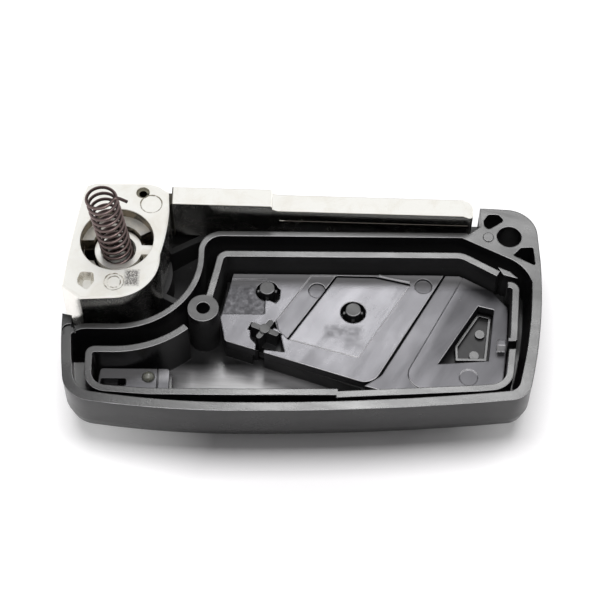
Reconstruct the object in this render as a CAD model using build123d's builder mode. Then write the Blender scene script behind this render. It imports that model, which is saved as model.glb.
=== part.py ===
import os
from math import cos, pi, radians, sin, tan

from build123d import *

os.makedirs("parts", exist_ok=True)

# Shell, in millimetres: X along the folded blade, Y away from the button side's near edge, Z up
shell_length = 76.2
shell_width = 38.25
rim_height = 12.0
wall = 1.5
floor_thickness = 1.6
edge_radius = 6.0
flat_start = -22.0
flat_end = 0.0
left_rise = 1.6
right_rise = 2.6
drawn_reach = 54.1
drawn_width = 38.25

# Levels of what the shell carries
deck_height = 6.8
rib_height = 11.0
rib_thickness = 1.1
s_wall_thickness = 0.95
plate_top = 6.6
plate_thickness = 1.8
plate_gap = 0.35
seat_gap = 0.02

# Hinge of the blade
hub_inset = 8.35
pivot_share = 0.736
hub_bottom = 7.05
hub_top = 17.0
hub_swing = 12.35
swing_clearance = 0.35
bore_radius = 5.85
ledge_depth = 2.0
ledge_start = 30.0
channel_depth = 4.6
lock_depth = 3.0
spigot_radius = 7.0
spigot_wall = 1.3
spigot_depth = 1.2
tower_wall = 1.2
running_clearance = 0.1

# Release button: a barrel with one lug, and the cap that the thumb pushes
barrel_radius = 3.8
barrel_wall = 1.0
barrel_top = 14.0
cup_depth = 4.0
lug_reach = 5.45
lug_width = 1.8
lug_height = 1.4
release_travel = 2.2
cap_radius = 4.6
cap_face = 0.25
cap_flange = 0.8
stem_radius = 2.2
stem_height = 3.5
key_reach = 6.3
key_width = 1.6

# Spring that stands loose in the barrel
spring_radius = 2.28
wire_diameter = 0.55
spring_pitch = 1.54
coil_steps = 12
spring_steps = 143
spring_lean = 5.5

# Blade
shank_thickness = 3.3
blade_thickness = 3.2
groove_drop = 1.1
groove_width = 1.6
shank_bottom = 7.7
shank_top = 16.5
blade_step = 1.3
shank_length = 16.3
blade_end_gap = 1.4
blade_end_slope = 1.7
blade_end_drop = 0.95
tang_length = 6.8
tang_thickness = 2.2
blade_groove = 0.05
blade_skew = -1.4
pin_radius = 1.05
pin_bore = 0.65

# Push buttons
button_travel = 0.6
button_clearance = 0.2
button_flange = 0.8
flange_thickness = 0.8
post_radius = 1.25
post_rise = 1.0

# Screw boss, key ring lug and light guide
boss_radius = 2.5
boss_bore = 1.07
boss_bore_depth = 7.0
ring_hole_radius = 2.0
pocket_depth = 7.0
carrier_top = 6.2
carrier_thickness = 1.4
guide_radius = 0.95

left_x = -shell_length / 2
right_x = shell_length / 2
front_y = -19.65
pivot_x = left_x + hub_inset
pivot_y = round(front_y + pivot_share * shell_width, 2)
far_y = front_y + shell_width
s_wall_radius = hub_swing + swing_clearance + s_wall_thickness / 2
s_wall_y = pivot_y + 4.7
foot_y = pivot_y - s_wall_radius
side_x = pivot_x + s_wall_radius
s_bend = 3.3
hub_gap = hub_bottom - deck_height
tower_radius = spigot_radius + running_clearance + tower_wall
plate_bottom = plate_top - plate_thickness
plate_far_y = pivot_y + 0.4
button_top = plate_bottom - button_travel
cap_seat = floor_thickness + 0.2
blade_y = pivot_y + 9.1
pin_x = pivot_x + 3.65
mouth_x = pivot_x + 8.05
boss_x = pivot_x + 13.75
boss_y = pivot_y - 9.0
ring_hole_x = right_x - 4.8
ring_hole_y = far_y - 5.6
rib_arc = s_wall_radius + 3.55
carrier_far = pivot_y - rib_arc - 0.75
carrier_near = front_y + 4.7
carrier_shoulder = carrier_near + 0.45 * (carrier_far - carrier_near)
guide_x = left_x + 13.6
guide_y = (carrier_far + carrier_near) / 2 + 1.5
bay_end = right_x - 9.3


def shell_plan(inset):
    """Outline of the shell seen from above, drawn in by inset; its corners stay round."""
    front_middle = (left_x + 27.2, front_y + inset)
    front_left = (left_x + 1.4 + inset, front_y + 2.15 + inset)
    front_right = (right_x - 3.4 - inset, front_y + 2.55 + inset)
    right_middle = (right_x - inset, 8.1)
    far_right = (right_x - 0.3 - inset, far_y - 0.5 - inset)
    far_middle = (right_x - 8.6, far_y - inset)
    far_left = (left_x + 2.5 + inset, far_y - inset)
    left_middle = (left_x + inset, -1.5)
    corners = ((front_left, 5.0), (front_right, 3.6), (far_right, 5.0), (far_left, 2.5))
    with BuildSketch() as plan:
        with BuildLine():
            TangentArc(front_middle, front_left, tangent=(-1, 0))
            TangentArc(front_middle, front_right, tangent=(1, 0))
            TangentArc(right_middle, front_right, tangent=(0, -1))
            Line(right_middle, far_right)
            Line(far_right, far_middle)
            Line(far_middle, far_left)
            TangentArc(left_middle, far_left, tangent=(0, 1))
            TangentArc(left_middle, front_left, tangent=(0, -1))
        make_face()
        for corner, radius in corners:
            fillet(plan.vertices().sort_by_distance(corner)[0], max(radius - inset, 0.8))
    return plan.sketch


def crown(lift):
    """Side view of everything above the crowned face, lifted by lift."""
    reach = shell_length / 2 + 1
    with BuildSketch() as view:
        with BuildLine():
            Line((flat_start, lift), (flat_end, lift))
            TangentArc((flat_end, lift), (reach, right_rise + lift), tangent=(1, 0))
            Line((reach, right_rise + lift), (reach, rim_height + 1))
            Line((reach, rim_height + 1), (-reach, rim_height + 1))
            Line((-reach, rim_height + 1), (-reach, left_rise + lift))
            TangentArc((flat_start, lift), (-reach, left_rise + lift), tangent=(-1, 0))
        make_face()
    return view.sketch


def rounded_sections(inset, lift, radius, steps):
    """Sections of a tray whose bottom edge is rounded in steps, from its foot to the start of its walls."""
    sections = []
    for step in range(steps + 1):
        angle = 90 - 90 * step / steps
        edge = inset + radius * (1 - cos(radians(angle)))
        height = lift + radius * (1 - sin(radians(angle)))
        sections.append(Plane.XY.offset(height) * shell_plan(edge))
    return sections


def spots(*places):
    """Plan places in the tray, which keep their share of it between the boss, the right end and the front."""
    share_x = (right_x - boss_x) / drawn_reach
    share_y = shell_width / drawn_width
    return [(boss_x + (x + 16.0) * share_x, front_y + (y + 19.65) * share_y) for x, y in places]


# S-shaped wall between the key's bay and the tray
with BuildSketch() as s_wall:
    with BuildLine():
        TangentArc((left_x + 4.0, foot_y), (left_x + 1.0, foot_y - 1.5), tangent=(-1, 0))
        Line((left_x + 4.0, foot_y), (pivot_x, foot_y))
        CenterArc((pivot_x, pivot_y), s_wall_radius, -90, 90)
        Line((side_x, pivot_y), (side_x, s_wall_y - s_bend))
        CenterArc((side_x + s_bend, s_wall_y - s_bend), s_bend, 180, -90)
        Line((side_x + s_bend, s_wall_y), (right_x - 11.5, s_wall_y))
    trace(line_width=s_wall_thickness)

# Bay of the key, on the far side of that wall
with BuildSketch() as key_bay:
    with BuildLine():
        Polyline(
            (right_x - 12.0, s_wall_y),
            (right_x - 11.0, s_wall_y + 0.5),
            (bay_end, s_wall_y + 1.8),
            (bay_end, far_y + 5),
            (left_x - 5, far_y + 5),
            (left_x - 5, foot_y + 2.3),
            (left_x, foot_y + 2.3),
            (left_x + 2.1, foot_y + 1.8),
            (left_x + 2.4, foot_y - 0.4),
            (left_x + 4.0, foot_y),
            (pivot_x, foot_y),
        )
        CenterArc((pivot_x, pivot_y), s_wall_radius, -90, 90)
        Line((side_x, pivot_y), (side_x, s_wall_y - s_bend))
        CenterArc((side_x + s_bend, s_wall_y - s_bend), s_bend, 180, -90)
        Line((side_x + s_bend, s_wall_y), (right_x - 12.0, s_wall_y))
    make_face()
    add(s_wall.sketch, mode=Mode.SUBTRACT)

# Ribs that stand round the tray
with BuildSketch() as ribs:
    with BuildLine():
        CenterArc((pivot_x, pivot_y), rib_arc, -90, 42)
        FilletPolyline(
            (pivot_x, pivot_y - rib_arc),
            (left_x + 4.5, pivot_y - rib_arc),
            (left_x + 4.7, front_y + 4.6),
            (left_x + 14.0, front_y + 3.9),
            (left_x + 28.0, front_y + 3.9),
            *spots((5.4, -15.6)),
            radius=[0.9, 3.0, 20, 20],
        )
        FilletPolyline(
            *spots(
                (5.1, -16.05),
                (27.1, -14.75),
                (31.9, -14.25),
                (33.2, -5.05),
                (34.05, 4.4),
                (32.7, 4.4),
            ),
            radius=[20, 3.2, 40, 1.0],
        )
        FilletPolyline(
            (boss_x + 0.9, boss_y + 2.0),
            (boss_x + 2.1, boss_y + 7.7),
            (boss_x + 2.6, pivot_y + 1.45),
            (right_x - 12.5, pivot_y + 1.45),
            (right_x - 6.8, pivot_y - 2.0),
            radius=[4, 1.3, 3],
        )
    trace(line_width=rib_thickness)
    with BuildLine():
        Polyline(
            (right_x - 6.8, pivot_y - 0.7),
            (right_x - 4.9, pivot_y - 1.6),
            (right_x - 3.7, pivot_y - 2.9),
            (right_x - 6.0, pivot_y - 2.2),
            close=True,
        )
    make_face()
    with Locations((boss_x, boss_y)):
        Circle(boss_radius)

# Block of the key ring lug, behind the slanted end of the tray
with BuildSketch() as lug_block:
    with BuildLine():
        Polyline(
            (right_x - 12.5, s_wall_y - s_wall_thickness / 2),
            (right_x - 1.45, pivot_y - 1.6),
            (right_x - 1.45, pivot_y - 7.0),
            (right_x + 5, pivot_y - 7.0),
            (right_x + 5, far_y + 5),
            (right_x - 12.5, far_y + 5),
            close=True,
        )
    make_face()
    fillet(lug_block.vertices().sort_by_distance((right_x - 1.45, pivot_y - 1.6))[0], 6.5)

# Tower, spokes and cross ribs under the hub and the blade
with BuildSketch() as deck:
    with Locations((pivot_x, pivot_y)):
        Circle(tower_radius)
        for angle in range(30, 390, 60):
            Rectangle(hub_swing * 2, 1.0, rotation=angle, align=(Align.MIN, Align.CENTER))
    for place in range(5):
        with Locations((side_x + 5.0 + place * 9.0, far_y)):
            Rectangle(1.0, 2 * (far_y - s_wall_y))
    with Locations((right_x - 16.0, far_y)):
        Rectangle(10.0, 2 * (far_y - s_wall_y), align=(Align.MIN, Align.CENTER))
    add(key_bay.sketch, mode=Mode.INTERSECT)

# Button plates: outlines of the left and the right one, parted by a slanted gap
cliff_left, cliff_right, gap_near, plate_left = spots((-12.6, -3.9), (10.9, -11.8), (12.4, -10.0), (-13.45, 0.4))
plate_corner, plate_side, plate_notch = spots((31.2, -13.45), (32.45, -5.05), (33.1, 2.65))
gap_far = (spots((22.85, 0))[0][0], plate_far_y)
plate_end = (right_x - 12.7, plate_far_y)
plate_toe = spots((16.9, -14.05))[0]
with BuildSketch() as left_plate_plan:
    with BuildLine():
        Polyline(
            (plate_left[0] + 1.95, plate_far_y),
            plate_left,
            cliff_left,
            cliff_right,
            gap_far,
            close=True,
        )
    make_face()
    fillet(left_plate_plan.vertices().sort_by_distance(cliff_right)[0], 2.6)
    fillet(left_plate_plan.vertices().sort_by_distance(cliff_left)[0], 1.0)

with BuildSketch() as right_plate_plan:
    with BuildLine():
        Polyline(
            (gap_far[0] + plate_gap, plate_far_y),
            gap_near,
            (cliff_right[0] - 1.2, cliff_right[1] - 0.1),
            plate_toe,
            plate_corner,
            plate_side,
            plate_notch,
            (right_x - 7.4, pivot_y - 2.7),
            plate_end,
            close=True,
        )
    make_face()
    fillet(right_plate_plan.vertices().sort_by_distance(plate_corner)[0], 2.6)
    fillet(right_plate_plan.vertices().sort_by_distance(gap_near)[0], 1.5)

# Low walls on the floor that carry the plates and the light carrier
with BuildSketch() as plate_walls:
    with BuildLine():
        Polyline(
            (plate_left[0] + 1.45, plate_far_y - 0.5),
            (plate_left[0] + 0.6, plate_left[1]),
            (cliff_left[0] + 0.6, cliff_left[1] + 0.5),
            (cliff_right[0] - 0.6, cliff_right[1] + 0.5),
            (plate_toe[0], plate_toe[1] - 0.6),
        )
    trace(line_width=1.0)
    with Locations(*spots((-7.2, -6.4))):
        Rectangle(1.9, 3.6, mode=Mode.SUBTRACT)
    with BuildLine():
        Line((cliff_right[0] - 0.6, cliff_right[1] + 0.5), (gap_far[0], plate_far_y - 0.3))
        Line((plate_corner[0] + 0.3, plate_corner[1] + 2.8), (plate_side[0] + 0.8, plate_corner[1] + 2.8))
        Line((right_x - 7.0, pivot_y - 3.3), (right_x - 5.0, pivot_y - 2.6))
        Line((left_x + 7.6, carrier_far - 0.2), (left_x + 7.6, carrier_near + 1.1))
        Line((guide_x + 2.6, carrier_far - 0.2), (guide_x + 2.6, carrier_near + 0.7))
    trace(line_width=2.2)

# Corners of the push buttons seen from above
button_corners = {
    "lock_button": spots((-11.3, 3.1), (-1.5, 3.1), (-1.5, 7.9), (-11.3, 7.9)),
    "hatch_button": spots((-10.5, 1.0), (-1.2, 1.0), (-1.2, -5.5), (-10.5, -2.3)),
    "unlock_button": spots((2.8, -3.4), (12.4, -3.4), (12.4, 6.2), (2.8, 6.2)),
    "panic_button": spots((20.2, -7.6), (30.2, -6.8), (31.0, 1.6), (28.6, 4.0)),
}
corner_radius = 1.3


def button_plan(name, grow):
    """Outline of one push button seen from above, grown by grow."""
    with BuildSketch() as plan:
        with BuildLine():
            Polyline(*button_corners[name], close=True)
        make_face()
        fillet(plan.vertices(), corner_radius)
        if grow:
            offset(amount=grow)
    return plan.sketch


# Each button's seat on the shell floor, and its outer face just inside the shell's
button_seats = {
    "lock_button": floor_thickness + 0.1,
    "hatch_button": floor_thickness + 0.1,
    "unlock_button": floor_thickness + 0.45,
    "panic_button": floor_thickness + 1.2,
}
face_recess = 0.3

# Hollow of the shell, less all that stands in it
with BuildPart() as hollow:
    loft(rounded_sections(wall, floor_thickness, edge_radius - wall, 3), ruled=True)
    with BuildSketch(Plane.XY.offset(edge_radius + floor_thickness - wall)):
        add(shell_plan(wall))
    extrude(amount=rim_height)
    with BuildSketch(Plane.XZ):
        add(crown(floor_thickness))
    extrude(amount=shell_width, both=True, mode=Mode.INTERSECT)
    standing = (
        (s_wall, rim_height + 1),
        (lug_block, rim_height + 1),
        (ribs, rib_height),
        (deck, deck_height),
        (plate_walls, plate_bottom - seat_gap),
    )
    for plan, height in standing:
        with BuildSketch():
            add(plan.sketch)
        extrude(amount=height, mode=Mode.SUBTRACT)

# Front half of the shell, lying on its button side
with BuildPart() as front_shell:
    loft(rounded_sections(0, 0, edge_radius, 4), ruled=True)
    with BuildSketch(Plane.XY.offset(edge_radius)):
        add(shell_plan(0))
    extrude(amount=rim_height - edge_radius)
    with BuildSketch(Plane.XZ):
        add(crown(0))
    extrude(amount=shell_width, both=True, mode=Mode.INTERSECT)
    add(hollow.part, mode=Mode.SUBTRACT)
    with BuildSketch(Plane.XY.offset(deck_height)):
        add(key_bay.sketch)
    extrude(amount=rim_height, mode=Mode.SUBTRACT)
    # Seat of the hub and bore of the release button
    with Locations((pivot_x, pivot_y, deck_height)):
        Hole(cap_radius + 0.15, depth=deck_height + 1)
        Hole(cap_radius + cap_flange + 0.2, depth=deck_height - cap_seat)
        Hole(spigot_radius + running_clearance, depth=spigot_depth - hub_gap + 0.05)
    with BuildSketch(Plane.XY.offset(cap_seat)):
        with Locations((pivot_x, pivot_y)):
            Rectangle(key_reach + 0.15, key_width + 0.2, align=(Align.MIN, Align.CENTER))
    extrude(amount=deck_height, mode=Mode.SUBTRACT)
    # Openings of the push buttons, with a flat seat round each
    for name, seat in button_seats.items():
        with BuildSketch(Plane.XY.offset(-1)):
            add(button_plan(name, button_clearance))
        extrude(amount=seat + 1.5, mode=Mode.SUBTRACT)
        with BuildSketch(Plane.XY.offset(seat)):
            add(button_plan(name, button_flange + button_clearance))
        extrude(amount=flange_thickness + button_travel + 0.2, mode=Mode.SUBTRACT)
    # Screw boss, key ring hole, light guide hole and the two pockets in the lug
    with Locations((boss_x, boss_y, rib_height)):
        Hole(boss_bore, depth=boss_bore_depth)
    with Locations((ring_hole_x, ring_hole_y, rim_height)):
        Hole(ring_hole_radius)
    with Locations((guide_x, guide_y, carrier_top)):
        Hole(guide_radius + 0.05)
    with BuildSketch(Plane.XY.offset(rim_height)):
        with BuildLine():
            FilletPolyline(
                (ring_hole_x - 4.0, ring_hole_y + 3.2),
                (ring_hole_x - 3.2, ring_hole_y + 4.4),
                (ring_hole_x - 1.5, ring_hole_y + 4.4),
                (ring_hole_x - 0.6, ring_hole_y + 3.2),
                (ring_hole_x - 3.3, ring_hole_y + 1.35),
                (ring_hole_x - 3.95, ring_hole_y + 2.1),
                radius=0.6,
                close=True,
            )
        make_face()
        with BuildLine():
            FilletPolyline(
                (ring_hole_x + 0.4, ring_hole_y - 3.55),
                (ring_hole_x + 1.8, ring_hole_y - 2.1),
                (ring_hole_x + 3.75, ring_hole_y - 2.0),
                (ring_hole_x + 3.95, ring_hole_y - 5.6),
                radius=0.25,
                close=True,
            )
        make_face()
    extrude(amount=-pocket_depth, mode=Mode.SUBTRACT)
    with BuildSketch(Plane.XY.offset(rim_height)):
        with Locations((ring_hole_x - 3.4, ring_hole_y - 0.15)):
            Circle(0.85)
    extrude(amount=0.2)
    # Clip notch in the right rib with a tab beside it, and the web between rib and rim at the front left corner
    with BuildSketch(Plane.XY.offset(plate_top)):
        with Locations(*spots((32.9, -6.75))):
            Rectangle(3.0, 1.7)
    extrude(amount=rim_height, mode=Mode.SUBTRACT)
    with BuildSketch(Plane.XY.offset(plate_top + 0.1)):
        with Locations(*spots((32.85, -5.85))):
            Rectangle(1.25, 0.6)
    extrude(amount=rib_height - plate_top - 0.1)
    with BuildSketch(Plane.XY.offset(edge_radius - wall)):
        with BuildLine():
            Polyline(
                (left_x + 1.2, front_y + 10.7),
                (left_x + 4.2, front_y + 10.7),
                (left_x + 5.4, front_y + 5.2),
                (left_x + 3.0, front_y + 5.2),
                close=True,
            )
        make_face()
    extrude(amount=rib_height - edge_radius - wall)
    # Arched groove at the left end of the rim
    with BuildSketch(Plane.XY.offset(rim_height)):
        with BuildLine():
            Line((left_x + 0.35, foot_y - 1.6), (left_x + 0.35, foot_y - 1.0))
            ThreePointArc(
                (left_x + 0.35, foot_y - 1.0),
                (left_x + 1.25, foot_y + 0.2),
                (left_x + 2.15, foot_y - 1.0),
            )
        trace(line_width=0.3)
    extrude(amount=-0.5, mode=Mode.SUBTRACT)

# Cross-shaped plunger of the hatch button, round ones of the lock and unlock buttons
hatch_post, lock_post, unlock_post = spots((-6.2, -2.1), (-5.95, 5.65), (8.0, 1.6))
hatch_arm = 4.8
hatch_web = 0.9
hatch_turn = -24
hatch_cross_turn = -36

# Left button plate, with one bent slit, two post holes and a notch for the third post
with BuildPart() as left_button_plate:
    with BuildSketch(Plane.XY.offset(plate_bottom)):
        add(left_plate_plan.sketch)
    extrude(amount=plate_thickness)
    # Strip sunk a little beside the slit, and pad raised a little inside it
    with BuildSketch(Plane.XY.offset(plate_top)):
        with BuildLine():
            Polyline(*spots((-4.4, 0.1), (1.3, 8.8), (5.5, 8.8), (-2.5, -3.5), (-4.0, -1.8)), close=True)
        make_face()
    extrude(amount=-0.15, mode=Mode.SUBTRACT)
    slit_low, slit_high, ridge_start, ridge_end, pad_corner = spots(
        (-2.5, -3.5), (5.3, 8.5), (11.65, 8.4), (17.3, 7.0), (8.7, -6.85)
    )
    with BuildSketch(Plane.XY.offset(plate_top)):
        with BuildLine():
            Polyline(slit_low, pad_corner, ridge_end, ridge_start, slit_high, close=True)
        make_face()
    extrude(amount=0.08)
    with BuildSketch(Plane.XY.offset(plate_bottom)):
        with BuildLine():
            Line(slit_low, slit_high)
            Polyline(slit_high, ridge_start, ridge_end)
        trace(line_width=0.4)
    extrude(amount=plate_thickness + 1, mode=Mode.SUBTRACT)
    # Thin lip behind the slit's sloping end
    with BuildSketch(Plane.XY.offset(plate_top)):
        with BuildLine():
            Line((ridge_start[0] + 0.6, ridge_start[1] + 0.25), (ridge_end[0], ridge_end[1] + 0.4))
        trace(line_width=0.3)
    extrude(amount=0.4)
    with BuildSketch(Plane.XY.offset(plate_bottom)):
        with Locations(lock_post):
            Circle(post_radius + 0.6)
        with Locations(unlock_post):
            Circle(post_radius + 0.8)
        with BuildLine():
            Polyline(*spots((-5.9, 4.0), (-4.5, 3.3), (-3.9, 4.2), (-3.8, 5.9), (-5.2, 7.3)), close=True)
        make_face()
        with BuildLine():
            Polyline(
                *spots(
                    (-8.6, -1.2),
                    (-3.6, -3.0),
                    (-3.0, -5.9),
                    (-6.3, -5.5),
                    (-6.6, -8.0),
                    (-7.8, -8.0),
                    (-7.6, -4.5),
                    (-8.5, -3.4),
                ),
                close=True,
            )
        make_face()
        with BuildLine():
            Polyline(*spots((-5.3, -1.0), (-4.6, -0.1), (-4.2, -1.7)), close=True)
        make_face()
        with Locations(hatch_post):
            Rectangle(hatch_arm + 0.6, hatch_web + 0.6, rotation=hatch_turn)
            Rectangle(hatch_web + 0.6, hatch_arm - 0.4, rotation=hatch_cross_turn)
    extrude(amount=plate_thickness + 1, mode=Mode.SUBTRACT)
    # Shallow recess round the first hole, and two round marks left by the mould
    with BuildSketch(Plane.XY.offset(plate_top - 0.15)):
        with BuildLine():
            Polyline(*spots((-14.0, 7.9), (-6.0, 7.9), (-6.4, 1.2), (-14.0, 1.2)), close=True)
        make_face()
    extrude(amount=1, mode=Mode.SUBTRACT)
    with BuildSketch(Plane.XY.offset(plate_top)):
        with Locations(*spots((2.2, 5.9), (19.5, 6.8))):
            Circle(1.4)
    extrude(amount=-0.5, mode=Mode.SUBTRACT)

# Right button plate, round the slanted opening over the fourth button
with BuildPart() as right_button_plate:
    with BuildSketch(Plane.XY.offset(plate_bottom)):
        add(right_plate_plan.sketch)
        with BuildLine():
            Polyline(*spots((28.25, 3.05), (30.8, 2.35), (29.45, -7.25), (21.35, -7.9)), close=True)
        make_face(mode=Mode.SUBTRACT)
    extrude(amount=plate_thickness)
    with BuildSketch(Plane.XY.offset(plate_top)):
        with Locations(*spots((26.15, -10.3))):
            Circle(1.45)
    extrude(amount=-0.08, mode=Mode.SUBTRACT)
    # Strip sunk a little along the slanted end, past the round near left corner of the pad
    pad_near = spots((14.9, -12.4))[0]
    with BuildSketch() as pad:
        with BuildLine():
            Polyline(*spots((26.3, 9.0), (14.9, -12.4), (40.0, -12.4), (40.0, 9.0)), close=True)
        make_face()
        fillet(pad.vertices().sort_by_distance(pad_near)[0], 2.6)
    with BuildSketch(Plane.XY.offset(plate_top)):
        add(right_plate_plan.sketch)
        add(pad.sketch, mode=Mode.SUBTRACT)
    extrude(amount=-0.15, mode=Mode.SUBTRACT)
    # Hook of the clip beside the notch in the rib
    with BuildSketch(Plane.XY.offset(plate_top)):
        with Locations(*spots((31.5, -4.95))):
            Rectangle(1.25, 1.05)
    extrude(amount=1.9)


def button_blank(name, top):
    """One push button: its face through the shell, its flange on the seat and its back, up to top."""
    seat = button_seats[name]
    face = seat - floor_thickness + face_recess
    with BuildPart() as blank:
        with BuildSketch(Plane.XY.offset(face)):
            add(button_plan(name, 0))
        extrude(amount=top - face)
        with BuildSketch(Plane.XY.offset(seat + seat_gap)):
            add(button_plan(name, button_flange))
        extrude(amount=flange_thickness)
    return blank.part


def star_post(place):
    """Round plunger with four fins, up through its hole in the plate."""
    with BuildPart() as post:
        with BuildSketch(Plane.XY.offset(button_top - 0.5)):
            with Locations(place):
                Circle(post_radius)
        extrude(amount=plate_top + post_rise - button_top + 0.5)
        chamfer(post.faces().sort_by(Axis.Z)[-1].edges(), 0.1)
        with BuildSketch(Plane.XY.offset(button_top - 0.5)):
            with Locations(place):
                Rectangle(3.2, 0.5)
                Rectangle(0.5, 3.2)
        extrude(amount=plate_thickness + 1.0)
    return post.part


with BuildPart() as lock_button:
    add(button_blank("lock_button", button_top))
    add(star_post(lock_post))

with BuildPart() as unlock_button:
    add(button_blank("unlock_button", button_top))
    add(star_post(unlock_post))

with BuildPart() as hatch_button:
    add(button_blank("hatch_button", button_top))
    with BuildSketch(Plane.XY.offset(button_top - 0.5)):
        with Locations(hatch_post):
            SlotOverall(hatch_arm, hatch_web, rotation=hatch_turn)
            SlotOverall(hatch_arm - 0.8, hatch_web, rotation=hatch_cross_turn + 90)
    extrude(amount=plate_top + post_rise - 0.3 - button_top + 0.5)
    with BuildSketch(Plane.XY.offset(plate_top)):
        with Locations(hatch_post):
            Circle(0.85)
    extrude(amount=post_rise)

# The fourth button has a shallow cup with two pins on its back
cup_corners = spots((24.4, -3.5), (24.4, -6.2), (29.3, -6.2), (30.45, 2.1), (28.3, 2.6))
cup_floor = button_top
cup_edge = 0.7
cup_wall = 0.4
with BuildPart() as panic_button:
    add(button_blank("panic_button", button_seats["panic_button"] + flange_thickness))
    with BuildSketch(Plane.XY.offset(cup_floor - 0.7)):
        with BuildLine():
            Polyline(*cup_corners, close=True)
        make_face()
    extrude(amount=cup_edge + 0.7)
    with BuildSketch(Plane.XY.offset(cup_floor)):
        with BuildLine():
            Polyline(*cup_corners, close=True)
        make_face()
        offset(amount=-cup_wall, kind=Kind.INTERSECTION)
    extrude(amount=cup_edge, mode=Mode.SUBTRACT)
    with BuildSketch(Plane.XY.offset(cup_floor)):
        with Locations(*spots((28.5, -1.1), (27.4, -5.1))):
            Circle(0.8)
    extrude(amount=0.5)

# Carrier plate with a slot, and the light guide through it and the floor
with BuildPart() as light_carrier:
    with BuildSketch(Plane.XY.offset(carrier_top - carrier_thickness)):
        with BuildLine():
            FilletPolyline(
                (left_x + 6.0, carrier_far),
                (guide_x + 3.3, carrier_far),
                (guide_x + 3.3, carrier_near),
                (left_x + 8.5, carrier_near + 0.5),
                (left_x + 5.6, carrier_shoulder),
                radius=0.5,
                close=True,
            )
        make_face()
    extrude(amount=carrier_thickness)
    with BuildSketch(Plane.XY.offset(carrier_top)):
        with Locations((left_x + 8.1, (carrier_far + carrier_near) / 2 + 0.55)):
            RectangleRounded(4.0, 1.3, 0.3)
    extrude(amount=-carrier_thickness, mode=Mode.SUBTRACT)
    with BuildSketch(Plane.XY.offset(carrier_top)):
        with Locations((guide_x + 1.45, guide_y)):
            Rectangle(0.2, 9.0)
    extrude(amount=-0.4, mode=Mode.SUBTRACT)
    with Locations((guide_x, guide_y, carrier_top)):
        Hole(guide_radius + 0.05)

dome_top = carrier_top + 0.75
dome_foot = (guide_x + guide_radius, carrier_top + 0.1)
with BuildPart() as light_guide:
    with BuildSketch(Plane.XZ.offset(-guide_y)):
        with BuildLine():
            Polyline((guide_x, dome_top), (guide_x, 0.2), (guide_x + guide_radius, 0.2), dome_foot)
            TangentArc((guide_x, dome_top), dome_foot, tangent=(1, 0))
        make_face()
    revolve(axis=Axis((guide_x, guide_y, 0), (0, 0, 1)))

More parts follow.
